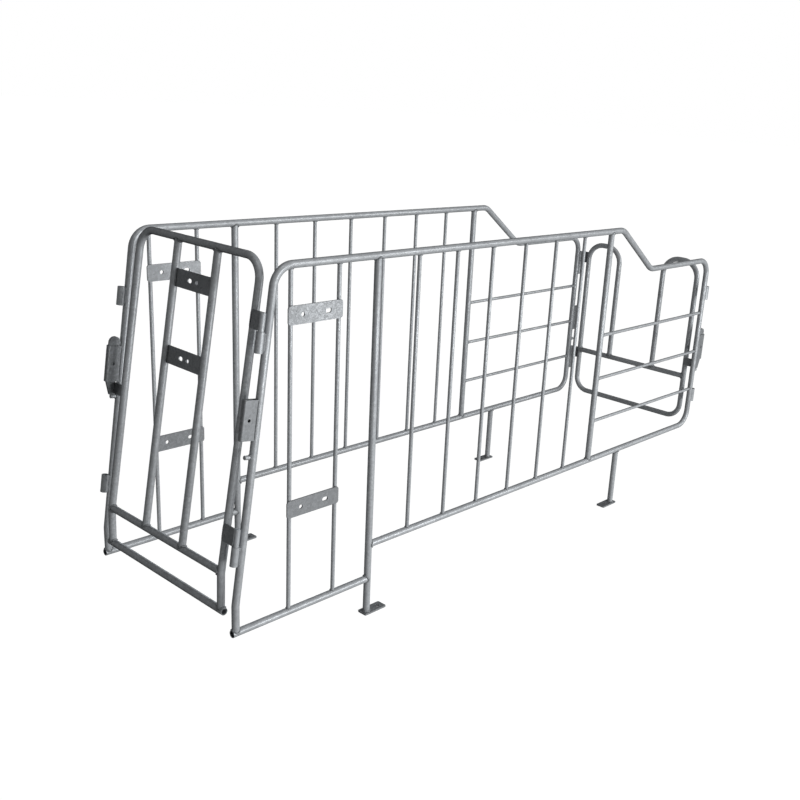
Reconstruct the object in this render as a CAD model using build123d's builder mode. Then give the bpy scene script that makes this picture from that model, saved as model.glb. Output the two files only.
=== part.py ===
from build123d import *
import os
from math import cos, radians, sin

# A gestation stall for one sow: two side panels of bent pipe and round bar that stand
# on bolt-down feet, with a lift-off gate at the rear and another at the front, each
# hung on the sockets of one panel and held by a drop latch on the other.
# X runs from the rear gate to the front gate, Y across the stall, Z up.
# The origin is on the floor, in the middle of the stall.

# Stock
pipe_d = 21.3  # frame pipe, outside
pipe_wall = 2.35
bar_d = 12.0  # round bar of the side grids
plate_t = 5.0  # flat bar of the hinge and catch plates
bracket_t = 4.0
foot_t = 6.0
weld_gap = 0.3  # between two round pieces that a weld bead joins
pipe_r = pipe_d / 2

# Side panel, seen from the side: distances forward of the rear corner, heights from the floor
stall_width = 650.0  # between the middles of the two panels
rear_leg_x = 475.0
mid_post_x = 1600.0
top_rail_end_x = 1673.0
slope_foot_x = 1890.0
front_leg_x = 1793.0
front_post_x = 2329.0
top_rail_z = 1089.0
low_rail_z = 932.0
bottom_rail_z = 227.0
rear_rail_z = 115.0
post_kink_z = 195.0
post_lean = 8.2  # degrees forward, above the kink
bend_r = 60.0  # middle line of every pipe bend
rear_rail_stub = 12.0  # how far the rear rail runs on behind the post
open_end_depth = 18.0

# Grid bars
first_bar_x = 176.0
second_bar_x = 337.0
grid_bars = 6  # upright bars between the rear leg and the middle post
nose_bar_z = 382.0
nose_bar_pitch = 165.0
nose_bars = 3  # level bars between the middle post and the front post

# Feet
foot_length = 85.0
foot_width = 35.0
foot_heel = 18.0  # from the short end to the leg's middle
foot_hole_d = 12.0
foot_hole_in = 21.0  # from the free end

# Punched brackets between two bars
bracket_h = 50.0
bracket_tail = 14.0
bracket_low_z = 427.0
bracket_high_z = 960.0
bracket_hole_d = 12.0
bracket_slot = 20.0
bracket_hole_in = 33.0
bracket_corner = 8.0

# Hinges: a pin on the gate drops into a socket on the post
pin_d = 16.0
pin_play = 0.3  # on the radius
socket_length = 54.0
hinge_plate_h = 48.0
hinge_plate_seat = 1.5  # depth of the groove that seats the pin
pin_end_play = 4.0  # between the pin's lower end and the socket's
rear_socket_z = (311.0, 872.0)  # lower ends
front_socket_z = (324.0, 766.0)

# Latches: a plate slides in a folded box on the post and drops in front of the gate's catch
box_length = 107.0
box_width = 16.0
box_sheet = 3.0
box_depth = 50.0  # from the post's middle line
box_fold_r = 4.5
box_hole_d = 9.0
box_hole_out = 31.5
rear_box_z = 649.0  # lower end
front_box_z = 508.0
drop_t = 8.0
drop_play = 1.0  # between the drop plate and what guides it
drop_below = 40.0
drop_above = 26.0
drop_nose = 16.0  # width of its lower end
catch_h = 33.0
catch_play = 3.0  # below the box
catch_gap = 0.8  # between the end of the catch and the drop plate
stop_d = 12.0
stop_out = 27.0
seat_play = 0.3  # between a piece and what it rests on

# Gates: distances across from the hinge axis
hinge_side = 50.0  # to the first upright
gate_width = 550.0  # between the outer uprights
rear_gate_top_z = 1100.0
rear_gate_kink_z = 272.0
rear_cross_high_z = 277.0
rear_cross_low_z = 165.0
rear_cross_stub = 4.0
rear_inner_in = 184.0  # from the first upright to the nearer inner bar, and again at the far side
rear_closed_turn = 1.1  # degrees past square, until the catch meets the post
rear_bracket_z = (783.0, 994.0)
front_gate_top_z = 910.0
front_mid_z = 421.0
front_bottom_z = 234.0
horn_width = 163.0
horn_bend_r = 70.0

# Worked out from the sizes above
hinge_out = pipe_d + weld_gap  # hinge axis from the post's middle line
lean_sin = sin(radians(post_lean))
lean_cos = cos(radians(post_lean))
lean_tan = lean_sin / lean_cos
top_corner_x = (top_rail_z - post_kink_z) * lean_tan
gate_low_x = (rear_gate_kink_z - post_kink_z) * lean_tan - hinge_out / lean_cos
rear_reach = pipe_r - gate_low_x
rear_x = (rear_reach - front_post_x - box_depth) / 2
side_y = stall_width / 2
SIDES = {"right": -side_y, "left": side_y}


def post_frame(x, y, z, across, lean):
    """The frame of one corner post: x across the stall, y up the post, z into the stall."""
    return Plane(origin=(x, y, z), x_dir=(0, across, 0), z_dir=(across * cos(lean), 0, -across * sin(lean)))


def rear_post(y):
    return post_frame(rear_x, y, post_kink_z, 1, radians(post_lean))


def front_post(y):
    return post_frame(rear_x + front_post_x, y, 0, -1, 0)


def up_rear(z):
    """Distance up the leaning rear post that reaches the height z."""
    return (z - post_kink_z) / lean_cos


def level(post, up):
    """A cut square to the post: x across the stall, y outwards from the post."""
    return Plane(origin=post.from_local_coords((0, up, 0)), x_dir=post.x_dir, z_dir=post.y_dir)


def side_view(post, up):
    """The plane along the post: x outwards from the post, y up the post."""
    return Plane(origin=post.from_local_coords((0, up, 0)), x_dir=-post.z_dir, z_dir=post.x_dir)


def pipe_section(path):
    """The round section of a pipe, square to the start of its line."""
    with BuildSketch(Plane(origin=path.line @ 0, z_dir=path.line % 0)) as section:
        Circle(pipe_r)
    return section.sketch


# Side panels


def side_frame(y):
    """One pipe bent round from the rear corner over the top, down the nose and back to the rear leg."""
    corners = [
        (rear_x, rear_rail_z),
        (rear_x, post_kink_z),
        (rear_x + top_corner_x, top_rail_z),
        (rear_x + top_rail_end_x, top_rail_z),
        (rear_x + slope_foot_x, low_rail_z),
        (rear_x + front_post_x, low_rail_z),
        (rear_x + front_post_x, bottom_rail_z),
        (rear_x + rear_leg_x, bottom_rail_z),
    ]
    with BuildPart() as frame:
        with BuildLine(Plane.XZ.offset(-y)) as path:
            FilletPolyline(*corners, radius=bend_r)
        sweep(pipe_section(path), path=path.line)
        # the foot of the post is shaped to the rear rail, and the end of the bottom rail to the leg
        with BuildSketch(Plane.YZ.offset(rear_x - bend_r)):
            with Locations((y, rear_rail_z)):
                Circle(pipe_r)
        extrude(amount=2 * bend_r, mode=Mode.SUBTRACT)
        with BuildSketch(Plane.XY.offset(bottom_rail_z - bend_r)):
            with Locations((rear_x + rear_leg_x, y)):
                Circle(pipe_r)
        extrude(amount=2 * bend_r, mode=Mode.SUBTRACT)
    return frame


def upright(x, y, low, high, diameter, *rails):
    """A straight upright from one height to another, shaped to the rails that it meets."""
    with BuildPart() as post:
        with BuildSketch(Plane.XY.offset(low)):
            with Locations((x, y)):
                Circle(diameter / 2)
        extrude(amount=high - low)
        for rail in rails:
            add(rail.part, mode=Mode.SUBTRACT)
    return post


def side_rear_rail(y, leg):
    """The low rail from the rear corner to the rear leg, open behind the post."""
    with BuildPart() as rail:
        with BuildSketch(Plane.YZ.offset(rear_x - rear_rail_stub)):
            with Locations((y, rear_rail_z)):
                Circle(pipe_r)
        extrude(amount=rear_rail_stub + rear_leg_x)
        with BuildSketch(Plane.YZ.offset(rear_x - rear_rail_stub)):
            with Locations((y, rear_rail_z)):
                Circle(pipe_r - pipe_wall)
        extrude(amount=open_end_depth, mode=Mode.SUBTRACT)
        add(leg.part, mode=Mode.SUBTRACT)
    return rail


def grid_bar_places():
    pitch = (mid_post_x - rear_leg_x) / (grid_bars + 1)
    return [rear_leg_x + pitch * (i + 1) for i in range(grid_bars)]


def side_bars(y, frame, rear_rail):
    """All upright bars of one panel."""
    with BuildPart() as bars:
        with BuildSketch(Plane.XY.offset(rear_rail_z)):
            with Locations((rear_x + first_bar_x, y), (rear_x + second_bar_x, y)):
                Circle(bar_d / 2)
        extrude(amount=top_rail_z - rear_rail_z)
        with BuildSketch(Plane.XY.offset(bottom_rail_z)):
            with Locations(*[(rear_x + x, y) for x in grid_bar_places()]):
                Circle(bar_d / 2)
        extrude(amount=top_rail_z - bottom_rail_z)
        add(frame.part, mode=Mode.SUBTRACT)
        add(rear_rail.part, mode=Mode.SUBTRACT)
    return bars


def side_nose_bars(y, frame, mid_post):
    """The level bars of the nose, between the middle post and the front post."""
    with BuildPart() as bars:
        with BuildSketch(Plane.YZ.offset(rear_x + mid_post_x)):
            with Locations(*[(y, nose_bar_z + i * nose_bar_pitch) for i in range(nose_bars)]):
                Circle(bar_d / 2)
        extrude(amount=front_post_x - mid_post_x)
        add(frame.part, mode=Mode.SUBTRACT)
        add(mid_post.part, mode=Mode.SUBTRACT)
    return bars


def side_brackets(y):
    """Two punched plates laid across the outer sides of the first two bars."""
    low_x = rear_x + first_bar_x - bracket_tail
    high_x = rear_x + second_bar_x + bar_d / 2
    with BuildPart() as brackets:
        with BuildSketch(Plane.XZ.offset(bar_d / 2 - y)):
            for z in (bracket_low_z, bracket_high_z):
                with Locations(((low_x + high_x) / 2, z)):
                    RectangleRounded(high_x - low_x, bracket_h, bracket_corner)
                with Locations((rear_x + first_bar_x + bracket_hole_in, z)):
                    Circle(bracket_hole_d / 2, mode=Mode.SUBTRACT)
                with Locations((rear_x + second_bar_x - bracket_hole_in - bracket_slot / 2, z)):
                    SlotOverall(bracket_slot, bracket_hole_d, mode=Mode.SUBTRACT)
        extrude(amount=bracket_t)
    return brackets


def foot(leg_x, y, toe):
    """A foot plate under a leg, with its bolt hole towards the toe."""
    middle = rear_x + leg_x + toe * (foot_length / 2 - foot_heel)
    hole = rear_x + leg_x + toe * (foot_length - foot_heel - foot_hole_in)
    with BuildPart() as plate:
        with BuildSketch(Plane.XY):
            with Locations((middle, y)):
                RectangleRounded(foot_length, foot_width, 3)
            with Locations((hole, y)):
                Circle(foot_hole_d / 2, mode=Mode.SUBTRACT)
        extrude(amount=foot_t)
    return plate


# Hinges and latches on the corner posts


def sockets(post, heights):
    """The short pipes that take the gate's pins, welded upright to the outer side of the post."""
    with BuildPart() as pair:
        for up in heights:
            with BuildSketch(level(post, up)):
                with Locations((0, hinge_out)):
                    Circle(pipe_r)
                    Circle(pin_d / 2 + pin_play, mode=Mode.SUBTRACT)
            extrude(amount=socket_length)
    return pair


def latch_box(post, up, frame):
    """A folded channel that stands off the post, open at both ends, drilled for a safety pin."""
    with BuildPart() as box:
        with BuildSketch(level(post, up)):
            with Locations((0, box_depth / 2)):
                Rectangle(box_width, box_depth)
            with Locations((0, (box_depth - box_sheet) / 2)):
                Rectangle(box_width - 2 * box_sheet, box_depth - box_sheet, mode=Mode.SUBTRACT)
        extrude(amount=box_length)
        outer_folds = box.edges().filter_by(Axis(post.origin, post.y_dir)).sort_by(Axis(post.origin, -post.z_dir))[-2:]
        fillet(outer_folds, box_fold_r)
        with BuildSketch(side_view(post, up)):
            with Locations((box_hole_out, box_length / 2)):
                Circle(box_hole_d / 2)
        extrude(amount=box_width, both=True, mode=Mode.SUBTRACT)
        add(frame.part, mode=Mode.SUBTRACT)
    return box


def latch_stops(places, frame):
    """The stubs under a panel's two boxes, on which a drop plate comes to rest."""
    with BuildPart() as stubs:
        for post, box_up in places:
            up = box_up - drop_below - seat_play - stop_d / 2
            with BuildSketch(Plane(origin=post.from_local_coords((0, up, 0)), x_dir=post.x_dir, z_dir=-post.z_dir)):
                Circle(stop_d / 2)
            extrude(amount=stop_out)
        add(frame.part, mode=Mode.SUBTRACT)
    return stubs


def drop_plate(post, box_up):
    """The latch itself: a round-topped plate whose lower end tapers outside, to ride over the catch."""
    inner = pipe_r + drop_play
    outer = box_depth - box_sheet - drop_play
    tail_in = pipe_r + seat_play + plate_t + drop_play
    dome_r = (outer - inner) / 2
    dome_up = box_length + drop_above - dome_r
    with BuildPart() as plate:
        with BuildSketch(side_view(post, box_up)):
            with BuildLine():
                Polyline(
                    (inner, dome_up),
                    (inner, drop_play),
                    (tail_in, drop_play),
                    (tail_in, -drop_below),
                    (tail_in + drop_nose, -drop_below),
                    (outer, 0),
                    (outer, dome_up),
                )
                RadiusArc((inner, dome_up), (outer, dome_up), dome_r)
            make_face()
        extrude(amount=drop_t / 2, both=True)
    return plate


# Gates, each drawn in its own plane: x across from the hinge axis, y up, z into the stall


def gate_plane(post, turn):
    """The plane of a closed gate, through its hinge axis."""
    origin = post.from_local_coords((0, 0, -hinge_out))
    return Plane(origin=origin, x_dir=post.x_dir, z_dir=post.z_dir).rotated((0, turn, 0))


def across(gate, up):
    """A cut square to the gate's uprights: x across the gate, y outwards."""
    return Plane(origin=gate.from_local_coords((0, up, 0)), x_dir=gate.x_dir, z_dir=gate.y_dir)


def crosswise(gate, point):
    """A cut square to the gate's cross bars, at a point of the gate."""
    return Plane(origin=gate.from_local_coords(point), x_dir=gate.y_dir, z_dir=gate.x_dir)


def hinge_pins(post, heights):
    """The gate's pins, from the top of each plate down into its socket."""
    with BuildPart() as pins:
        for up in heights:
            with BuildSketch(level(post, up + pin_end_play)):
                with Locations((0, hinge_out)):
                    Circle(pin_d / 2)
            extrude(amount=socket_length - pin_end_play + hinge_plate_h + seat_play)
        tips = pins.edges().filter_by(GeomType.CIRCLE).group_by(Axis(post.origin, post.y_dir))
        chamfer(tips[0] + tips[2], 1.5)
    return pins


def hinge_plates(gate, heights, pins, frame):
    """Flat bars from the gate's upright to its pins, grooved for the pins and shaped to the upright."""
    with BuildPart() as plates:
        for up in heights:
            middle = up + socket_length + seat_play + hinge_plate_h / 2
            with BuildSketch(gate.offset(-pin_d / 2 - plate_t + hinge_plate_seat)):
                with Locations((hinge_side / 2, middle)):
                    Rectangle(hinge_side, hinge_plate_h)
            extrude(amount=plate_t)
        add(pins.part, mode=Mode.SUBTRACT)
        add(frame.part, mode=Mode.SUBTRACT)
    return plates


def catch_plate(gate, box_up, frame, turn):
    """The flat bar that crosses the post's outer side under the latch box."""
    end = hinge_side * 2 + gate_width - drop_t / 2 - catch_gap
    shift = end * sin(radians(turn))
    face = hinge_out - pipe_r - seat_play - shift
    with BuildPart() as plate:
        with BuildSketch(gate.offset(face - plate_t)):
            with Locations(((hinge_side + gate_width + end) / 2, box_up - catch_play - catch_h / 2)):
                Rectangle(end - hinge_side - gate_width, catch_h)
        extrude(amount=plate_t)
        add(frame.part, mode=Mode.SUBTRACT)
    return plate


def leg_point(across_x, down):
    """A point on a leg of the rear gate, some way down its upright foot below the kink."""
    return (across_x, up_rear(rear_gate_kink_z) - down * lean_cos, down * lean_sin)


def rear_gate_frame(gate):
    """One pipe bent into a tall hoop, its legs kinked to stand upright at the foot."""
    drop = rear_gate_kink_z - rear_cross_low_z
    top = up_rear(rear_gate_top_z)
    near, far = hinge_side, hinge_side + gate_width
    corners = [
        leg_point(near, drop),
        leg_point(near, 0),
        (near, top, 0),
        (far, top, 0),
        leg_point(far, 0),
        leg_point(far, drop),
    ]
    with BuildPart() as hoop:
        with BuildLine(gate) as path:
            FilletPolyline(*corners, radius=bend_r)
        sweep(pipe_section(path), path=path.line)
        with BuildSketch(crosswise(gate, leg_point(0, drop))):
            Circle(pipe_r + weld_gap)
        extrude(amount=far + hinge_side, mode=Mode.SUBTRACT)
    return hoop


def rear_cross_low(gate):
    """The lowest bar of the rear gate, open at both ends past the legs."""
    drop = rear_gate_kink_z - rear_cross_low_z
    start = hinge_side - pipe_r - rear_cross_stub
    length = gate_width + pipe_d + 2 * rear_cross_stub
    with BuildPart() as bar:
        with BuildSketch(crosswise(gate, leg_point(start, drop))):
            Circle(pipe_r)
        extrude(amount=length)
        for end in (start, start + length - open_end_depth):
            with BuildSketch(crosswise(gate, leg_point(end, drop))):
                Circle(pipe_r - pipe_wall)
            extrude(amount=open_end_depth, mode=Mode.SUBTRACT)
    return bar


def rear_cross_high(gate, frame):
    with BuildPart() as bar:
        with BuildSketch(crosswise(gate, (hinge_side, up_rear(rear_cross_high_z), 0))):
            Circle(pipe_r)
        extrude(amount=gate_width)
        add(frame.part, mode=Mode.SUBTRACT)
    return bar


def rear_inner_bars(gate, frame, cross_high):
    """The two pipes that close the middle of the rear gate."""
    low, high = up_rear(rear_cross_high_z), up_rear(rear_gate_top_z)
    with BuildPart() as bars:
        with BuildSketch(across(gate, low)):
            with Locations((hinge_side + rear_inner_in, 0), (hinge_side + gate_width - rear_inner_in, 0)):
                Circle(pipe_r)
        extrude(amount=high - low)
        add(frame.part, mode=Mode.SUBTRACT)
        add(cross_high.part, mode=Mode.SUBTRACT)
    return bars


def rear_gate_brackets(gate, inner_bars):
    """Two punched plates between the inner bars."""
    low_x = hinge_side + rear_inner_in
    high_x = hinge_side + gate_width - rear_inner_in
    with BuildPart() as brackets:
        with BuildSketch(gate.offset(-bracket_t / 2)):
            for z in rear_bracket_z:
                with Locations(((low_x + high_x) / 2, up_rear(z))):
                    Rectangle(high_x - low_x, bracket_h)
                with Locations(((low_x + high_x) / 2 - bracket_hole_in / 2, up_rear(z))):
                    Circle(bracket_hole_d / 2, mode=Mode.SUBTRACT)
                with Locations(((low_x + high_x) / 2 + bracket_hole_in / 2, up_rear(z))):
                    SlotOverall(bracket_slot, bracket_hole_d, mode=Mode.SUBTRACT)
        extrude(amount=bracket_t)
        add(inner_bars.part, mode=Mode.SUBTRACT)
    return brackets


def front_gate_frame(gate):
    """One pipe bent into two upright horns joined under the opening that the sow eats through."""
    near, far = hinge_side, hinge_side + gate_width
    corners = [
        (near + horn_width, front_mid_z),
        (near + horn_width, front_gate_top_z),
        (near, front_gate_top_z),
        (near, front_bottom_z),
        (far, front_bottom_z),
        (far, front_gate_top_z),
        (far - horn_width, front_gate_top_z),
        (far - horn_width, front_mid_z),
    ]
    horn, foot_bend = horn_bend_r, bend_r
    with BuildPart() as loop:
        with BuildLine(gate) as path:
            FilletPolyline(*corners, radius=[horn, horn, foot_bend, foot_bend, horn, horn])
        sweep(pipe_section(path), path=path.line)
        # the two free ends are shaped to the middle bar
        with BuildSketch(crosswise(gate, (near + pipe_d, front_mid_z, 0))):
            Circle(pipe_r + weld_gap)
        extrude(amount=gate_width - 2 * pipe_d, mode=Mode.SUBTRACT)
    return loop


def front_mid_bar(gate):
    """The bar across the middle of the front gate, shaped to its outer legs."""
    with BuildPart() as bar:
        with BuildSketch(crosswise(gate, (hinge_side, front_mid_z, 0))):
            Circle(pipe_r)
        extrude(amount=gate_width)
        with BuildSketch(across(gate, front_mid_z - bend_r)):
            with Locations((hinge_side, 0), (hinge_side + gate_width, 0)):
                Circle(pipe_r + weld_gap)
        extrude(amount=2 * bend_r, mode=Mode.SUBTRACT)
    return bar


pieces = {}
for side, y in SIDES.items():
    frame = side_frame(y)
    rear_leg = upright(rear_x + rear_leg_x, y, foot_t, top_rail_z, pipe_d, frame)
    mid_post = upright(rear_x + mid_post_x, y, bottom_rail_z, top_rail_z, pipe_d, frame)
    rear_rail = side_rear_rail(y, rear_leg)
    pieces[f"{side}_frame_pipe"] = frame
    pieces[f"{side}_rear_leg"] = rear_leg
    pieces[f"{side}_middle_post"] = mid_post
    pieces[f"{side}_front_leg"] = upright(rear_x + front_leg_x, y, foot_t, bottom_rail_z, pipe_d, frame)
    pieces[f"{side}_rear_rail"] = rear_rail
    pieces[f"{side}_grid_bars"] = side_bars(y, frame, rear_rail)
    pieces[f"{side}_nose_bars"] = side_nose_bars(y, frame, mid_post)
    pieces[f"{side}_brackets"] = side_brackets(y)
    pieces[f"{side}_rear_foot"] = foot(rear_leg_x, y, 1)
    pieces[f"{side}_front_foot"] = foot(front_leg_x, y, -1)
    rear, front = rear_post(y), front_post(y)
    rear_box_up = up_rear(rear_box_z)
    pieces[f"{side}_rear_sockets"] = sockets(rear, [up_rear(z) for z in rear_socket_z])
    pieces[f"{side}_front_sockets"] = sockets(front, front_socket_z)
    pieces[f"{side}_rear_latch_box"] = latch_box(rear, rear_box_up, frame)
    pieces[f"{side}_front_latch_box"] = latch_box(front, front_box_z, frame)
    pieces[f"{side}_latch_stops"] = latch_stops([(rear, rear_box_up), (front, front_box_z)], frame)

rear_hinge_post, rear_latch_post = rear_post(SIDES["right"]), rear_post(SIDES["left"])
rear_socket_ups = [up_rear(z) for z in rear_socket_z]
rear_gate = gate_plane(rear_hinge_post, rear_closed_turn)
rear_frame = rear_gate_frame(rear_gate)
cross_high = rear_cross_high(rear_gate, rear_frame)
inner_bars = rear_inner_bars(rear_gate, rear_frame, cross_high)
rear_pins = hinge_pins(rear_hinge_post, rear_socket_ups)
pieces["rear_gate_frame"] = rear_frame
pieces["rear_gate_low_bar"] = rear_cross_low(rear_gate)
pieces["rear_gate_cross_bar"] = cross_high
pieces["rear_gate_inner_bars"] = inner_bars
pieces["rear_gate_brackets"] = rear_gate_brackets(rear_gate, inner_bars)
pieces["rear_gate_hinge_pins"] = rear_pins
pieces["rear_gate_hinge_plates"] = hinge_plates(rear_gate, rear_socket_ups, rear_pins, rear_frame)
pieces["rear_gate_catch"] = catch_plate(rear_gate, up_rear(rear_box_z), rear_frame, rear_closed_turn)
pieces["rear_drop_plate"] = drop_plate(rear_latch_post, up_rear(rear_box_z))

front_hinge_post, front_latch_post = front_post(SIDES["left"]), front_post(SIDES["right"])
front_gate = gate_plane(front_hinge_post, 0)
front_frame = front_gate_frame(front_gate)
front_pins = hinge_pins(front_hinge_post, front_socket_z)
pieces["front_gate_frame"] = front_frame
pieces["front_gate_mid_bar"] = front_mid_bar(front_gate)
pieces["front_gate_hinge_pins"] = front_pins
pieces["front_gate_hinge_plates"] = hinge_plates(front_gate, front_socket_z, front_pins, front_frame)
pieces["front_gate_catch"] = catch_plate(front_gate, front_box_z, front_frame, 0)
pieces["front_drop_plate"] = drop_plate(front_latch_post, front_box_z)

os.makedirs("parts", exist_ok=True)
for name, piece in pieces.items():
    piece.part.label = name
    export_step(piece.part, f"parts/{name}.step")
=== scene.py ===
import math

import bpy
import numpy as np
from mathutils import Matrix, Vector


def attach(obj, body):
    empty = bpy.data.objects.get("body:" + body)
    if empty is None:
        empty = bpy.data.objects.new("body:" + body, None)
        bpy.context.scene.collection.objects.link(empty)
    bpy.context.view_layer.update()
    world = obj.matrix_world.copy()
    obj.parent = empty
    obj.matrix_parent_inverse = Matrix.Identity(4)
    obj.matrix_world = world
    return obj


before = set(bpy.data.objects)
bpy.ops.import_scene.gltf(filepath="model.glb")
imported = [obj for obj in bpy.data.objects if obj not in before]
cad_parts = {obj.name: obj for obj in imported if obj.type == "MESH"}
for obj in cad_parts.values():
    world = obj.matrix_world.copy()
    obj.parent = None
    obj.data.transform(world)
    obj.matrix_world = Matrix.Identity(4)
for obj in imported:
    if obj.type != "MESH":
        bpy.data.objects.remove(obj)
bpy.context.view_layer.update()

bl_info = {
    "name": "Sow gestation stall",
    "version": (1, 0, 0),
    "blender": (4, 5, 0),
    "location": "View3D > Sidebar > Stall",
    "description": "Galvanised finish, weld beads and studio for a sow gestation stall",
    "category": "Object",
}

# Sizes of the stall that the welds follow: lengths in metres, leans in radians
PIPE_R = 0.01065
BAR_R = 0.006
PIN_R = 0.008
WELD_GAP = 0.0003
SIDE_Y = 0.325
REAR_X = -1.1788114
REAR_LEG_X = REAR_X + 0.475
MID_POST_X = REAR_X + 1.600
FRONT_LEG_X = REAR_X + 1.793
FRONT_POST_X = REAR_X + 2.329
TOP_RAIL_Z = 1.089
BOTTOM_RAIL_Z = 0.227
REAR_RAIL_Z = 0.115
POST_KINK_Z = 0.195
POST_LEAN = math.radians(8.2)
END_BARS_X = (REAR_X + 0.176, REAR_X + 0.337)
GRID_BARS = 6
NOSE_BARS_Z = (0.382, 0.547, 0.712)
FOOT_T = 0.006
BRACKETS_Z = (0.427, 0.960)
BRACKET_H = 0.050
HINGE_OUT = 2 * PIPE_R + WELD_GAP
SOCKET_LENGTH = 0.054
REAR_SOCKETS_Z = (0.311, 0.872)
FRONT_SOCKETS_Z = (0.324, 0.766)
BOX_LENGTH = 0.107
REAR_BOX_Z = 0.649
FRONT_BOX_Z = 0.508
STOP_BELOW_BOX = 0.0463
CATCH_H = 0.033
HINGE_PLATE_H = 0.048
HINGE_PLATE_OUT = (0.0065, 0.0115)
GATE_SPAN = (0.050, 0.600)
REAR_GATE_LEAN = math.radians(9.3)
REAR_CATCH_OUT = (0.0017, 0.0067)
FRONT_CATCH_OUT = (-0.01065, -0.0057)
REAR_INNER_IN = 0.184
REAR_TOP_Z = 1.100
REAR_CROSS_HIGH_Z = 0.277
REAR_CROSS_LOW_Z = 0.165
REAR_FOOT_KINK_Z = 0.272
REAR_BRACKETS_Z = (0.783, 0.994)
FRONT_MID_Z = 0.421
HORN_WIDTH = 0.163

# Shape of a weld bead: lengths in metres, shares of the bead's own radius
TUBE_SIDES = 8
PIPE_STEPS, PIPE_RIPPLES = 44, 15
BAR_STEPS, BAR_RIPPLES = 28, 9
RIPPLE, WOBBLE, WOBBLES = 0.13, 0.07, 3
CROWN_OUT, CROWN_UP = 0.15, 0.33
CROWN_LEAST = 0.22  # share of the run's radius
SEAM_STEP, SEAM_RIPPLE = 0.0022, 0.0042
SEAM_LEAST_STEPS = 12
THIN = 0.85
LAP = 0.35

# Where the straight beads run, in metres: how far short of a plate's ends, how far from the middle line
# of the bar or post beside them, and how far from the socket below and from the box's low end
SEAM_END = 0.001
BRACKET_SEAM_X, BRACKET_SEAM_Y = 0.0042, 0.0052
SOCKET_SEAM_ACROSS = 0.0052
BOX_SEAM_ACROSS, BOX_SEAM_OUT = 0.0084, 0.0080
GATE_BRACKET_SEAM_IN, GATE_BRACKET_SEAM_OUT = 0.0110, 0.0030
PLATE_SEAM_ABOVE_SOCKET = 0.0013
CATCH_SEAM_BELOW_BOX = 0.004

# Patterns of the coat: scales in features per metre, or per crystal where the crystal's width divides them
WARP_SCALE, WARP_SHARE = 1.4, 0.6
FERN_SCALE, FERN_ROUGHNESS = 6.0, 0.65
PATCH_SCALE, PATCH_EDGES = 5.5, (0.42, 0.66)
SPECK_SCALE, SPECK_EDGES = 420.0, (0.66, 0.74)
LUMP_SCALE = 95.0
DARKEST, LIGHTEST, COLOUR_LIMIT = 0.66, 1.34, 0.9
SPECK_COLOUR, SPECK_SHARE = (0.16, 0.165, 0.17, 1.0), 0.35
FERN_TONE, RUN_TONE, PATCH_TONE = 0.16, 0.30, 0.10
GLEAM_ROUGH, PATCH_ROUGH, FERN_ROUGH = 0.12, 0.08, 0.06
FERN_HEIGHT, GLEAM_HEIGHT, LUMP_HEIGHT, SPECK_HEIGHT = 0.35, 0.10, 0.9, 0.5
BUMP_STRENGTH = 0.55

# Directions that the lamps shine from, and the strip lamp's size and place in metres
KEY_FROM = (0.20, -0.97, 0.13)
RAIL_FROM = (0.66, -0.72, 0.20)
TOP_FROM = (-0.10, -0.30, 0.95)
BACK_FROM = (0.66, 0.75, 0.06)
STRIP_FROM = (0.0, -1.0, 0.0)
STRIP_SIZE = (3.6, 0.35)
STRIP_PLACE = (0.3, -2.9, 0.22)

# Background and floor
FILL_COLOUR = (0.93, 0.97, 1.0, 1.0)
FLOOR_HALF, FLOOR_Z = 40.0, -0.0005
FLOOR_MATT, FLOOR_DIM, FLOOR_GLOW = 0.22, 0.06, 0.955

# Camera: its lens and sensor in millimetres, its axes, and its place from the foot of the near rear corner
LENS, SENSOR = 44.905, 36.0
SHIFT = (-0.09347, 0.02923)
CAMERA_RIGHT = (0.66159904, -0.74694395, 0.06604120)
CAMERA_UP = (0.19640398, 0.25761071, 0.94607727)
CAMERA_FROM_CORNER = (-1.39706846, -1.96740882, 1.53242555)


def on_both_sides(*names):
    return [f"{side}_{name}" for side in ("right", "left") for name in names]


PIPE_NODES = on_both_sides(
    "frame_pipe", "rear_leg", "middle_post", "front_leg", "rear_rail", "rear_sockets", "front_sockets",
) + [
    "rear_gate_frame", "rear_gate_low_bar", "rear_gate_cross_bar", "rear_gate_inner_bars",
    "front_gate_frame", "front_gate_mid_bar",
]
BAR_NODES = on_both_sides("grid_bars", "nose_bars", "latch_stops") + [
    "rear_gate_hinge_pins", "front_gate_hinge_pins",
]
PLATE_NODES = on_both_sides(
    "brackets", "rear_foot", "front_foot", "rear_latch_box", "front_latch_box",
) + [
    "rear_gate_brackets", "rear_gate_hinge_plates", "rear_gate_catch",
    "front_gate_hinge_plates", "front_gate_catch", "rear_drop_plate", "front_drop_plate",
]

# Each coat: its nodes, its tone, its crystals' width as a share of the setting, the scale of its runs
# along each axis, and what comes off its roughness
COATS = {
    "galvanised_pipe": (PIPE_NODES, 0.96, 1.0, (26.0, 26.0, 5.0), 0.0),
    "galvanised_bar": (BAR_NODES, 0.97, 0.8, (34.0, 34.0, 4.0), 0.02),
    "galvanised_plate": (PLATE_NODES, 0.62, 0.9, (14.0, 14.0, 14.0), 0.03),
}
WELD_TONE, WELD_CRYSTAL, WELD_RUNS, WELD_FRESH = 0.60, 0.004, (60.0, 60.0, 60.0), 0.04


# Shader maths as expressions


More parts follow.
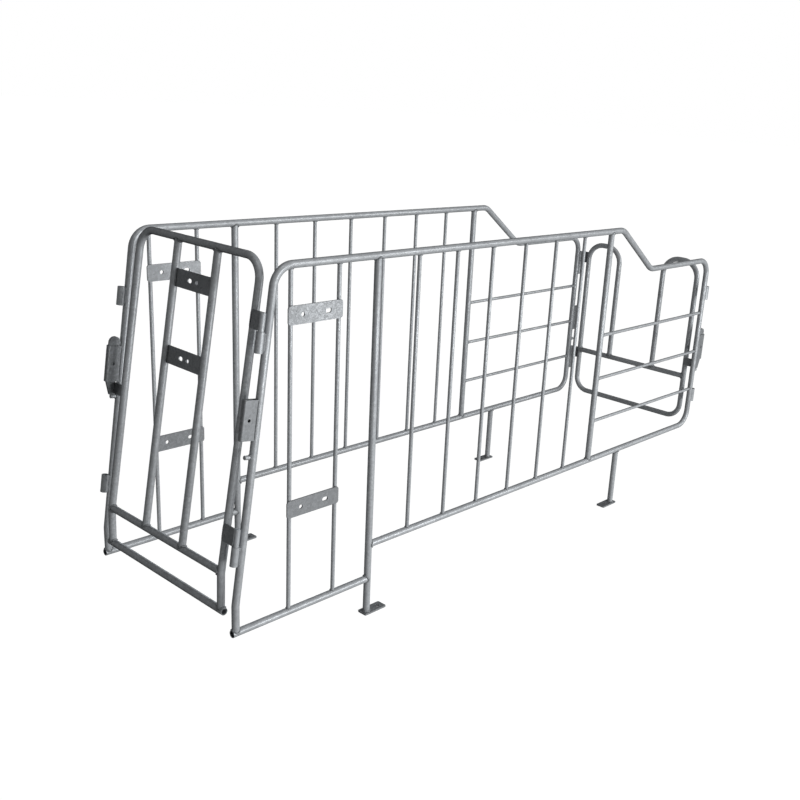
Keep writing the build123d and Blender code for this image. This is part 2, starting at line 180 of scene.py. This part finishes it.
class Wire:
    """A socket that can stand in an expression: each operator adds one Math node."""

    def __init__(self, graph, socket):
        self.graph = graph
        self.socket = socket

    def math(self, operation, *operands):
        node = self.graph.add("ShaderNodeMath", {"operation": operation}, dict(enumerate(operands)))
        return Wire(self.graph, node.outputs[0])

    def __add__(self, other):
        return self.math("ADD", self, other)

    def __radd__(self, other):
        return self.math("ADD", other, self)

    def __sub__(self, other):
        return self.math("SUBTRACT", self, other)

    def __mul__(self, other):
        return self.math("MULTIPLY", self, other)

    def larger(self, other):
        return self.math("MAXIMUM", self, other)

    def step(self, low, high):
        """0 below low, 1 above high, smooth between."""
        return self.graph.wire(
            "ShaderNodeMapRange", "Result",
            {"interpolation_type": "SMOOTHSTEP"},
            {"Value": self, "From Min": low, "From Max": high},
        )


class Graph:
    """A node tree that any node is added to in one way: its type, its settings, then its sockets."""

    def __init__(self, tree):
        self.tree = tree
        tree.nodes.clear()

    def add(self, kind, settings=None, sockets=None):
        node = self.tree.nodes.new(kind)
        for name, value in (settings or {}).items():
            setattr(node, name, value)
        for name, value in (sockets or {}).items():
            if isinstance(value, Wire):
                value = value.socket
            if isinstance(value, bpy.types.NodeSocket):
                self.tree.links.new(value, node.inputs[name])
            else:
                node.inputs[name].default_value = value
        return node

    def wire(self, kind, output, settings=None, sockets=None):
        return Wire(self, self.add(kind, settings, sockets).outputs[output])

    def noise(self, vector, scale, detail, roughness=0.5, output="Fac"):
        return self.wire("ShaderNodeTexNoise", output, None, {
            "Vector": vector, "Scale": scale, "Detail": detail, "Roughness": roughness,
        })

    def mix(self, factor, first, second):
        """A colour between two others."""
        return self.add("ShaderNodeMix", {"data_type": "RGBA"}, {0: factor, 6: first, 7: second}).outputs[2]


def grey(level):
    return (level, level, level, 1.0)


def zinc(name, finish, tone, cell, streak, fresh):
    """Hot-dip zinc: crystals with fern-like veins, drawn-out runs, dull patches, dark specks and lumps.

    The tone darkens the whole coat, cell is a crystal's width, streak is the scale of the runs along each
    axis, and fresh comes off the roughness.
    """
    material = bpy.data.materials.new(name)
    material.use_nodes = True
    g = Graph(material.node_tree)
    place = g.add("ShaderNodeTexCoord").outputs["Object"]
    warp = g.noise(place, WARP_SCALE / cell, 2.0, output="Color")
    bent = g.add("ShaderNodeVectorMath", {"operation": "MULTIPLY_ADD"},
                 {0: warp, 1: (cell * WARP_SHARE,) * 3, 2: place}).outputs[0]
    crystal = g.add("ShaderNodeTexVoronoi", {"feature": "F1"}, {"Vector": bent, "Scale": 1.0 / cell})
    chance = g.add("ShaderNodeSeparateColor", None, {"Color": crystal.outputs["Color"]})
    shade = Wire(g, chance.outputs["Red"])
    gleam = Wire(g, chance.outputs["Green"])
    fern = g.noise(bent, FERN_SCALE / cell, 3.0, roughness=FERN_ROUGHNESS)
    drawn = g.add("ShaderNodeMapping", None, {"Vector": place, "Scale": streak}).outputs[0]
    run = g.noise(drawn, 1.0, 4.0)
    patch = g.noise(place, PATCH_SCALE, 3.0).step(*PATCH_EDGES)
    speck = g.noise(place, SPECK_SCALE, 2.0).step(*SPECK_EDGES)
    lumps = g.noise(place, LUMP_SCALE, 4.0)
    light = 0.5 + (shade - 0.5) * finish.spangle
    light = light + (fern - 0.5) * FERN_TONE + (run - 0.5) * RUN_TONE - patch * PATCH_TONE
    dark_zinc = tuple(c * tone * DARKEST for c in finish.zinc) + (1.0,)
    light_zinc = tuple(min(c * tone * LIGHTEST, COLOUR_LIMIT) for c in finish.zinc) + (1.0,)
    colour = g.mix(light, dark_zinc, light_zinc)
    colour = g.mix(speck * SPECK_SHARE, colour, SPECK_COLOUR)
    rough = finish.roughness - fresh + (gleam - 0.5) * GLEAM_ROUGH
    rough = rough + patch * PATCH_ROUGH + (fern - 0.5) * FERN_ROUGH
    height = fern * FERN_HEIGHT + gleam * GLEAM_HEIGHT + lumps * LUMP_HEIGHT + speck * SPECK_HEIGHT
    bump = g.add("ShaderNodeBump", None, {
        "Strength": BUMP_STRENGTH, "Distance": finish.lump, "Height": height,
    })
    shader = g.add("ShaderNodeBsdfPrincipled", None, {
        "Base Color": colour, "Roughness": rough, "Metallic": finish.metallic,
        "Specular IOR Level": 0.0, "Specular Tint": grey(0.0), "Normal": bump.outputs[0],
    })
    g.add("ShaderNodeOutputMaterial", None, {"Surface": shader.outputs[0]})
    return material


def dress(names, material):
    """Puts one material on every face of these CAD nodes."""
    for name in names:
        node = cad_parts[name]
        if not node.material_slots:
            node.data.materials.append(material)
        for place in node.material_slots:
            place.material = material


# Weld beads


def unit(v):
    v = np.asarray(v, float)
    return v / np.linalg.norm(v)


def turn(steps):
    """Angles once round, without the last."""
    return np.linspace(0, 2 * math.pi, steps, endpoint=False)


def loop_bead(centre, u, b, f, radius, rise, bead_r, ripples, seed):
    """A rippled tube round a closed line.

    With v square to b and u, the line at angle f is centre + radius (cos f u + sin f v) + rise b. The
    tube's radius there is bead (1 + 0.13 sin(ripples f) + 0.07 sin(3 f + seed)).
    """
    q = turn(TUBE_SIDES)[None, :, None]
    radial = np.cos(f) * u + np.sin(f) * np.cross(b, u)
    r = bead_r * (1 + RIPPLE * np.sin(ripples * f) + WOBBLE * np.sin(WOBBLES * f + seed))
    grid = np.asarray(centre) + radius * radial + rise * b + r * (np.cos(q) * radial + np.sin(q) * b)
    return loop_faces(grid)


def ring_bead(centre, run_axis, branch, branch_r, bead_r, seed):
    """The bead where a round branch meets a pipe, the run.

    With b along the branch and u along the run, the loop's radius is s, the branch's radius plus 0.15 bead,
    and it rises by the square root of (R + 0.33 bead) squared - (s sin f) squared for a run of radius R,
    but by 0.22 R at least.
    """
    b = unit(branch)
    u = unit(np.asarray(run_axis, float) - np.dot(run_axis, b) * b)
    steps, ripples = (PIPE_STEPS, PIPE_RIPPLES) if branch_r > BAR_R else (BAR_STEPS, BAR_RIPPLES)
    f = turn(steps)[:, None, None]
    s = branch_r + bead_r * CROWN_OUT
    over = (PIPE_R + bead_r * CROWN_UP) ** 2 - (s * np.sin(f)) ** 2
    rise = np.sqrt(np.maximum(over, (PIPE_R * CROWN_LEAST) ** 2))
    return loop_bead(centre, u, b, f, s, rise, bead_r, ripples, seed)


def flat_bead(centre, bead_r, seed):
    """The bead round an upright pipe on a level plate: a level loop of the pipe's radius."""
    b = np.eye(3)[2]
    u = unit(np.cross(b, (0.3, 1, 0)))
    return loop_bead(centre, u, b, turn(PIPE_STEPS)[:, None, None], PIPE_R, 0.0, bead_r, PIPE_RIPPLES, seed)


def seam_bead(start, end, side, bead_r, seed):
    """A straight bead: at share s of its length the radius is bead (1 - (2 s - 1)^6)^0.5, rippled."""
    start, end = np.asarray(start, float), np.asarray(end, float)
    b = unit(end - start)
    u = unit(np.asarray(side, float) - np.dot(side, b) * b)
    v = np.cross(b, u)
    length = np.linalg.norm(end - start)
    s = np.linspace(0, 1, max(SEAM_LEAST_STEPS, int(length / SEAM_STEP)))[:, None, None]
    q = turn(TUBE_SIDES)[None, :, None]
    ripple = 1 + RIPPLE * np.sin(s * length / SEAM_RIPPLE * 2 * math.pi + seed)
    r = bead_r * np.sqrt(np.maximum(1 - (2 * s - 1) ** 6, 0)) * ripple
    inner = (start + s * (end - start) + r * (np.cos(q) * u + np.sin(q) * v))[1:-1]
    verts = np.concatenate([inner.reshape(-1, 3), [start], [end]])
    rows, cols = inner.shape[:2]
    i = np.arange(rows - 1)[:, None] * cols
    j = np.arange(cols)
    k = (j + 1) % cols
    quads = np.stack([i + j, i + k, i + cols + k, i + cols + j], -1).reshape(-1, 4)
    first, last = len(verts) - 2, len(verts) - 1
    top = (rows - 1) * cols
    caps = np.concatenate([
        np.stack([k, j, np.full(cols, first)], -1),
        np.stack([top + j, top + k, np.full(cols, last)], -1),
    ])
    return verts, quads, caps


def loop_faces(grid):
    """Faces of a grid that is closed both ways, with its points as one list."""
    rows, cols = grid.shape[:2]
    i = np.arange(rows)[:, None]
    j = np.arange(cols)
    n, k = (i + 1) % rows, (j + 1) % cols
    quads = np.stack([i * cols + j, i * cols + k, n * cols + k, n * cols + j], -1).reshape(-1, 4)
    return grid.reshape(-1, 3), quads, np.zeros((0, 3), int)


def outwards(verts, quads, caps):
    """The faces turned so that the closed surface encloses a positive volume."""
    tris = np.concatenate([quads[:, [0, 1, 2]], quads[:, [0, 2, 3]], caps])
    p = verts[tris]
    if np.einsum("ij,ij->i", p[:, 0], np.cross(p[:, 1], p[:, 2])).sum() < 0:
        return quads[:, ::-1], caps[:, ::-1]
    return quads, caps


def join(name, beads, material, body):
    """Makes one mesh of many beads, which rides on a body."""
    verts, quads, caps, start = [], [], [], 0
    for v, q, c in beads:
        q, c = outwards(v - v.mean(0), q, c)
        verts.append(v)
        quads.append(q + start)
        caps.append(c + start)
        start += len(v)
    verts, quads, caps = np.concatenate(verts), np.concatenate(quads), np.concatenate(caps)
    mesh = bpy.data.meshes.new(name)
    mesh.from_pydata(verts.tolist(), [], quads.tolist() + caps.tolist())
    mesh.polygons.foreach_set("use_smooth", np.ones(len(mesh.polygons), bool))
    mesh.update()
    piece = bpy.data.objects.new(name, mesh)
    bpy.context.scene.collection.objects.link(piece)
    piece.data.materials.append(material)
    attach(piece, body)


def lean_axes(lean, face):
    """Up along a post that leans forwards, (sin, 0, cos), and out from it, (face cos, 0, sin)."""
    up = np.array((math.sin(lean), 0.0, math.cos(lean)))
    out = np.array((face * math.cos(lean), 0.0, math.sin(lean)))
    return up, out


class Post:
    """The frame of one corner post: up the post, out from the stall and across it."""

    def __init__(self, y, rear):
        self.start = POST_KINK_Z if rear else 0.0
        self.origin = np.array((REAR_X if rear else FRONT_POST_X, y, self.start))
        self.up, self.out = lean_axes(POST_LEAN, -1.0) if rear else lean_axes(0.0, 1.0)
        self.across = np.array((0.0, 1.0 if rear else -1.0, 0.0))
        self.lean_cos = self.up[2]

    def rise(self, z):
        """Distance up from the start that reaches the height z on the post."""
        return (z - self.start) / self.lean_cos

    def at(self, across, up, out):
        return self.origin + across * self.across + up * self.up + out * self.out


class Leaf(Post):
    """The frame of a closed gate, through its hinge axis: up the gate, out from the stall, across it."""

    def __init__(self, y, rear):
        super().__init__(y, rear)
        self.post_up = self.up
        self.origin = self.origin + HINGE_OUT * self.out
        if rear:
            self.up, self.out = lean_axes(REAR_GATE_LEAN, -1.0)

    def pin_out(self, up):
        """How far the pin's middle line stands outside the gate's, at a height along the gate."""
        return up * np.dot(self.post_up, self.out)


class Beads(list):
    """The beads of one piece, whose ripples start at one phase after another."""

    def __init__(self, sizes, step, first):
        super().__init__()
        self.pipe = sizes.pipe_bead
        self.bar = sizes.bar_bead
        self.phases = iter(np.arange(400) * step + first)

    def ring(self, centre, run, branch, branch_r=PIPE_R):
        """Adds the bead round the end of a pipe or bar that meets a pipe."""
        bead_r = self.bar if branch_r == BAR_R else self.pipe
        self.append(ring_bead(centre, run, branch, branch_r, bead_r, next(self.phases)))

    def sole(self, centre):
        """Adds the bead round a leg on its foot plate."""
        self.append(flat_bead(centre, self.pipe, next(self.phases)))

    def seam(self, start, end, side, bead_r):
        self.append(seam_bead(start, end, side, bead_r, next(self.phases)))

    def seam_up(self, post, across, span, out, side, bead_r):
        """Adds a straight bead along a post or gate, between two heights."""
        low, high = span
        self.seam(post.at(across, low, out), post.at(across, high, out), side, bead_r)

    def lap(self, leaf, round_at, radius, way, faces, span, bead_r):
        """Adds the two beads where a flat plate laps a round upright.

        Each face of the plate lies at a distance from the upright's middle line. Its bead runs where the
        face meets the round, at the square root of (radius squared - distance squared) to the plate's
        side, or just past the plate's end where the face clears the round.
        """
        across, out = round_at
        for face, away in zip(faces, (-1, 1)):
            distance = face - out
            if abs(distance) >= radius:
                reach = -LAP * bead_r
            else:
                reach = math.sqrt(radius ** 2 - distance ** 2) + LAP * bead_r
            level = out + min(max(distance, -radius), radius) + away * LAP * bead_r
            self.seam_up(leaf, across + way * reach, span, level, leaf.across, bead_r)

    def hinge(self, leaf, sockets, box_z, catch_out):
        """Adds the beads of a gate's hinge plates, at the upright and at the pin, and of its catch."""
        near, far = GATE_SPAN
        for z in sockets:
            low = leaf.rise(z) + SOCKET_LENGTH + PLATE_SEAM_ABOVE_SOCKET
            span = (low, low + HINGE_PLATE_H - 2 * SEAM_END)
            pin = (0.0, leaf.pin_out(sum(span) / 2))
            self.lap(leaf, (near, 0.0), PIPE_R, -1, HINGE_PLATE_OUT, span, self.bar)
            self.lap(leaf, pin, PIN_R, 1, HINGE_PLATE_OUT, span, self.bar * THIN)
        top = leaf.rise(box_z) - CATCH_SEAM_BELOW_BOX
        span = (top - CATCH_H + 2 * SEAM_END, top)
        self.lap(leaf, (far, 0.0), PIPE_R, 1, catch_out, span, self.bar)


def panel_beads(y, sizes):
    x_axis, z_axis, down = np.eye(3)[0], np.eye(3)[2], -np.eye(3)[2]
    beads = Beads(sizes, step=1.7, first=3.0 if y > 0 else 0.0)
    beads.ring((REAR_X, y, REAR_RAIL_Z), x_axis, z_axis)
    beads.ring((REAR_LEG_X, y, TOP_RAIL_Z), x_axis, down)
    beads.ring((REAR_LEG_X, y, BOTTOM_RAIL_Z), z_axis, x_axis)
    beads.ring((REAR_LEG_X, y, REAR_RAIL_Z), z_axis, -x_axis)
    beads.ring((MID_POST_X, y, TOP_RAIL_Z), x_axis, down)
    beads.ring((MID_POST_X, y, BOTTOM_RAIL_Z), x_axis, z_axis)
    beads.ring((FRONT_LEG_X, y, BOTTOM_RAIL_Z), x_axis, down)
    for x in (REAR_LEG_X, FRONT_LEG_X):
        beads.sole((x, y, FOOT_T))
    pitch = (MID_POST_X - REAR_LEG_X) / (GRID_BARS + 1)
    uprights = [(x, REAR_RAIL_Z) for x in END_BARS_X]
    uprights += [(REAR_LEG_X + pitch * (i + 1), BOTTOM_RAIL_Z) for i in range(GRID_BARS)]
    for x, low_z in uprights:
        beads.ring((x, y, low_z), x_axis, z_axis, BAR_R)
        beads.ring((x, y, TOP_RAIL_Z), x_axis, down, BAR_R)
    for z in NOSE_BARS_Z:
        beads.ring((MID_POST_X, y, z), z_axis, x_axis, BAR_R)
        beads.ring((FRONT_POST_X, y, z), z_axis, -x_axis, BAR_R)
    half = BRACKET_H / 2 - SEAM_END
    for z in BRACKETS_Z:
        for bar_x in END_BARS_X:
            for x in (bar_x - BRACKET_SEAM_X, bar_x + BRACKET_SEAM_X):
                ends = [(x, y - BRACKET_SEAM_Y, z + rise) for rise in (-half, half)]
                beads.seam(*ends, x_axis, beads.bar * THIN)
    for rear, sockets, box_z in (
        (True, REAR_SOCKETS_Z, REAR_BOX_Z),
        (False, FRONT_SOCKETS_Z, FRONT_BOX_Z),
    ):
        post = Post(y, rear)
        for z in sockets:
            up = post.rise(z)
            span = (up + SEAM_END, up + SOCKET_LENGTH - SEAM_END)
            for across in (-SOCKET_SEAM_ACROSS, SOCKET_SEAM_ACROSS):
                beads.seam_up(post, across, span, HINGE_OUT / 2, post.out, beads.pipe)
        up = post.rise(box_z)
        span = (up + SEAM_END, up + BOX_LENGTH - SEAM_END)
        for across in (-BOX_SEAM_ACROSS, BOX_SEAM_ACROSS):
            beads.seam_up(post, across, span, BOX_SEAM_OUT, post.out, beads.bar)
        beads.ring(post.at(0, up - STOP_BELOW_BOX, 0), post.up, post.out, BAR_R)
    return beads


def rear_gate_beads(sizes):
    leaf = Leaf(-SIDE_Y, True)
    beads = Beads(sizes, step=2.3, first=1.1)
    near, far = GATE_SPAN
    cross, top = leaf.rise(REAR_CROSS_HIGH_Z), leaf.rise(REAR_TOP_Z)
    # Below the kink the legs are turned by the post's lean from the gate's plane
    foot_up = math.cos(POST_LEAN) * leaf.up + math.sin(POST_LEAN) * leaf.out
    foot_drop = (REAR_FOOT_KINK_Z - REAR_CROSS_LOW_Z) * foot_up
    for across, towards in ((near, leaf.across), (far, -leaf.across)):
        kink = leaf.at(across, leaf.rise(REAR_FOOT_KINK_Z), 0)
        beads.ring(kink - foot_drop, leaf.across, foot_up)
        beads.ring(leaf.at(across, cross, 0), leaf.up, towards)
    half = BRACKET_H / 2 - SEAM_END
    for across, side in ((near + REAR_INNER_IN, 1), (far - REAR_INNER_IN, -1)):
        beads.ring(leaf.at(across, cross, 0), leaf.across, leaf.up)
        beads.ring(leaf.at(across, top, 0), leaf.across, -leaf.up)
        for z in REAR_BRACKETS_Z:
            middle = leaf.rise(z)
            span = (middle - half, middle + half)
            for out in (GATE_BRACKET_SEAM_OUT, -GATE_BRACKET_SEAM_OUT):
                beads.seam_up(leaf, across + side * GATE_BRACKET_SEAM_IN, span, out, leaf.across, beads.bar)
    beads.hinge(leaf, REAR_SOCKETS_Z, REAR_BOX_Z, REAR_CATCH_OUT)
    return beads


def front_gate_beads(sizes):
    leaf = Leaf(SIDE_Y, False)
    beads = Beads(sizes, step=1.9, first=0.4)
    near, far = GATE_SPAN
    for across, run, branch in (
        (near, leaf.up, leaf.across),
        (far, leaf.up, -leaf.across),
        (near + HORN_WIDTH, leaf.across, leaf.up),
        (far - HORN_WIDTH, leaf.across, leaf.up),
    ):
        beads.ring(leaf.at(across, FRONT_MID_Z, 0), run, branch)
    beads.hinge(leaf, FRONT_SOCKETS_Z, FRONT_BOX_Z, FRONT_CATCH_OUT)
    return beads


# Stage


def white_ray(g):
    """1 on camera, glossy and transmission rays, which see the plain background."""
    path = g.add("ShaderNodeLightPath")
    camera, glossy, through = (
        Wire(g, path.outputs[name]) for name in ("Is Camera Ray", "Is Glossy Ray", "Is Transmission Ray")
    )
    return camera.larger(glossy).larger(through)


def make_world(studio):
    world = bpy.data.worlds.new("studio_world")
    bpy.context.scene.world = world
    world.use_nodes = True
    g = Graph(world.node_tree)
    fill = g.add("ShaderNodeBackground", None, {"Color": FILL_COLOUR, "Strength": studio.fill})
    white = g.add("ShaderNodeBackground", None, {"Color": grey(1.0), "Strength": 1.0})
    both = g.add("ShaderNodeMixShader", None, {0: white_ray(g), 1: fill.outputs[0], 2: white.outputs[0]})
    g.add("ShaderNodeOutputWorld", None, {"Surface": both.outputs[0]})


def make_floor():
    """A floor that looks white, with faint shadows, and throws little light up at the stall."""
    mesh = bpy.data.meshes.new("studio_floor")
    corners = [(-1, -1), (1, -1), (1, 1), (-1, 1)]
    mesh.from_pydata([(x * FLOOR_HALF, y * FLOOR_HALF, FLOOR_Z) for x, y in corners], [], [(0, 1, 2, 3)])
    floor = bpy.data.objects.new("studio_floor", mesh)
    bpy.context.scene.collection.objects.link(floor)
    material = bpy.data.materials.new("studio_floor")
    material.use_nodes = True
    g = Graph(material.node_tree)
    matt = g.add("ShaderNodeBsdfDiffuse", None, {"Color": grey(FLOOR_MATT)})
    dim = g.add("ShaderNodeBsdfDiffuse", None, {"Color": grey(FLOOR_DIM)})
    glow = g.add("ShaderNodeEmission", None, {"Color": grey(1.0), "Strength": FLOOR_GLOW})
    lit = g.add("ShaderNodeAddShader", None, {0: matt.outputs[0], 1: glow.outputs[0]})
    both = g.add("ShaderNodeMixShader", None, {0: white_ray(g), 1: dim.outputs[0], 2: lit.outputs[0]})
    g.add("ShaderNodeOutputMaterial", None, {"Surface": both.outputs[0]})
    mesh.materials.append(material)


def put_lamp(lamp, come_from, place=(0.0, 0.0, 0.0)):
    """Puts a lamp at a place, so that its light comes from a direction."""
    thing = bpy.data.objects.new(lamp.name, lamp)
    thing.location = place
    thing.rotation_euler = Vector(come_from).to_track_quat("Z", "Y").to_euler()
    bpy.context.scene.collection.objects.link(thing)


def even_lamp(name, come_from, strength, softness):
    """A far lamp whose light is the same all over the stall."""
    lamp = bpy.data.lights.new(name, "SUN")
    lamp.energy = strength
    lamp.angle = softness
    put_lamp(lamp, come_from)


def strip_lamp(power):
    """A long lamp that lies low beside the right-hand panel and draws the light line down the uprights."""
    lamp = bpy.data.lights.new("strip_lamp", "AREA")
    lamp.shape = "RECTANGLE"
    lamp.size, lamp.size_y = STRIP_SIZE
    lamp.energy = power
    put_lamp(lamp, STRIP_FROM, STRIP_PLACE)


def make_camera():
    """The camera that the photograph was taken with, found from the two like side panels."""
    camera = bpy.data.cameras.new("camera")
    camera.lens, camera.sensor_width = LENS, SENSOR
    camera.shift_x, camera.shift_y = SHIFT
    thing = bpy.data.objects.new("camera", camera)
    right, up = Vector(CAMERA_RIGHT), Vector(CAMERA_UP)
    axes = Matrix((right, up, right.cross(up))).transposed().to_4x4()
    x, y, z = CAMERA_FROM_CORNER
    thing.matrix_world = Matrix.Translation((x + REAR_X, y - SIDE_Y, z)) @ axes
    bpy.context.scene.collection.objects.link(thing)
    bpy.context.scene.camera = thing


# Settings, operators and panel


class STALL_finish(bpy.types.PropertyGroup):
    zinc: bpy.props.FloatVectorProperty(
        name="Zinc", description="Colour of the galvanised coat", subtype="COLOR", size=3,
        min=0, max=1, default=(0.36, 0.376, 0.392))
    spangle: bpy.props.FloatProperty(
        name="Spangle", description="How much the zinc crystals differ", default=0.25,
        min=0, max=1, subtype="FACTOR")
    crystal: bpy.props.FloatProperty(
        name="Crystal", description="Width of a zinc crystal", default=0.007,
        min=0.001, max=0.05, unit="LENGTH", subtype="DISTANCE")
    roughness: bpy.props.FloatProperty(
        name="Roughness", description="Dullness of the coat", default=0.28,
        min=0, max=1, subtype="FACTOR")
    metallic: bpy.props.FloatProperty(
        name="Metallic", description="How metallic the coat is", default=0.20,
        min=0, max=1, subtype="FACTOR")
    lump: bpy.props.FloatProperty(
        name="Lumps", description="Height of the lumps in the coat", default=0.00025,
        min=0, max=0.01, unit="LENGTH", subtype="DISTANCE")


class STALL_welds(bpy.types.PropertyGroup):
    pipe_bead: bpy.props.FloatProperty(
        name="Pipe bead", description="Radius of a bead between two pipes", default=0.0028,
        min=0.0005, max=0.006, unit="LENGTH", subtype="DISTANCE")
    bar_bead: bpy.props.FloatProperty(
        name="Bar bead", description="Radius of a bead on a bar or a plate", default=0.0020,
        min=0.0005, max=0.006, unit="LENGTH", subtype="DISTANCE")


class STALL_studio(bpy.types.PropertyGroup):
    key: bpy.props.FloatProperty(
        name="Key", description="Strength of the key lamp", default=1.5, min=0, max=10)
    rail: bpy.props.FloatProperty(
        name="Rail", description="Strength of the lamp that draws the light line along the rails",
        default=0.95, min=0, max=10)
    strip: bpy.props.FloatProperty(
        name="Strip", description="Power of the low strip lamp", default=50.0,
        min=0, max=500, unit="POWER")
    top: bpy.props.FloatProperty(
        name="Top", description="Strength of the lamp overhead, which draws the shadows on the floor",
        default=0.32, min=0, max=10)
    back: bpy.props.FloatProperty(
        name="Back", description="Strength of the level lamp on the sides that the photograph doesn't show",
        default=3.0, min=0, max=10)
    softness: bpy.props.FloatProperty(
        name="Softness", description="Angle that each far lamp spans", default=math.radians(22),
        min=0, max=math.pi, unit="ROTATION", subtype="ANGLE")
    fill: bpy.props.FloatProperty(
        name="Fill", description="Strength of the light from all round", default=0.03, min=0, max=2)


class STALL_OT_zinc_finish(bpy.types.Operator):
    """Puts the galvanised finish on the pipes, bars and plates"""
    bl_idname = "stall.zinc_finish"
    bl_label = "Galvanised finish"

    def execute(self, context):
        finish = context.scene.stall_finish
        for name, (nodes, tone, share, runs, fresh) in COATS.items():
            dress(nodes, zinc(name, finish, tone, finish.crystal * share, runs, fresh))
        return {"FINISHED"}


class STALL_OT_panel_welds(bpy.types.Operator):
    """Makes the weld beads of both side panels"""
    bl_idname = "stall.panel_welds"
    bl_label = "Panel welds"

    def execute(self, context):
        scene = context.scene
        material = zinc(
            "galvanised_weld", scene.stall_finish, WELD_TONE, WELD_CRYSTAL, WELD_RUNS, WELD_FRESH)
        for side, y in (("right", -SIDE_Y), ("left", SIDE_Y)):
            join(f"{side}_panel_welds", panel_beads(y, scene.stall_welds), material, "stall")
        return {"FINISHED"}


class STALL_OT_gate_welds(bpy.types.Operator):
    """Makes the weld beads of the two gates"""
    bl_idname = "stall.gate_welds"
    bl_label = "Gate welds"

    def execute(self, context):
        sizes = context.scene.stall_welds
        material = bpy.data.materials["galvanised_weld"]
        join("rear_gate_welds", rear_gate_beads(sizes), material, "rear_gate")
        join("front_gate_welds", front_gate_beads(sizes), material, "front_gate")
        return {"FINISHED"}


class STALL_OT_stage(bpy.types.Operator):
    """Sets up the floor, the lamps, the white background and the camera"""
    bl_idname = "stall.stage"
    bl_label = "Stage"

    def execute(self, context):
        studio = context.scene.stall_studio
        context.scene.view_settings.view_transform = "Standard"
        make_world(studio)
        make_floor()
        even_lamp("key_lamp", KEY_FROM, studio.key, studio.softness)
        even_lamp("rail_lamp", RAIL_FROM, studio.rail, studio.softness)
        strip_lamp(studio.strip)
        even_lamp("top_lamp", TOP_FROM, studio.top, studio.softness)
        even_lamp("back_lamp", BACK_FROM, studio.back, studio.softness)
        make_camera()
        return {"FINISHED"}


class STALL_PT_panel(bpy.types.Panel):
    """Lists the settings and the steps that dress the stall"""
    bl_idname = "STALL_PT_panel"
    bl_label = "Gestation stall"
    bl_space_type = "VIEW_3D"
    bl_region_type = "UI"
    bl_category = "Stall"

    def draw(self, context):
        layout = self.layout
        for group in (getattr(context.scene, name) for name in GROUPS):
            box = layout.box()
            for name in group.__annotations__:
                box.prop(group, name)
        for operator in STEPS:
            layout.operator(operator.bl_idname)


GROUPS = {"stall_finish": STALL_finish, "stall_welds": STALL_welds, "stall_studio": STALL_studio}
STEPS = (STALL_OT_zinc_finish, STALL_OT_panel_welds, STALL_OT_gate_welds, STALL_OT_stage)


def register():
    for cls in (*GROUPS.values(), *STEPS, STALL_PT_panel):
        bpy.utils.register_class(cls)
    for name, group in GROUPS.items():
        setattr(bpy.types.Scene, name, bpy.props.PointerProperty(type=group))


def unregister():
    for name in GROUPS:
        delattr(bpy.types.Scene, name)
    for cls in (STALL_PT_panel, *reversed(STEPS), *reversed(list(GROUPS.values()))):
        bpy.utils.unregister_class(cls)


def main():
    register()
    bpy.ops.stall.zinc_finish()
    bpy.ops.stall.panel_welds()
    bpy.ops.stall.gate_welds()
    bpy.ops.stall.stage()
    bpy.context.view_layer.update()


if __name__ == "__main__":
    main()
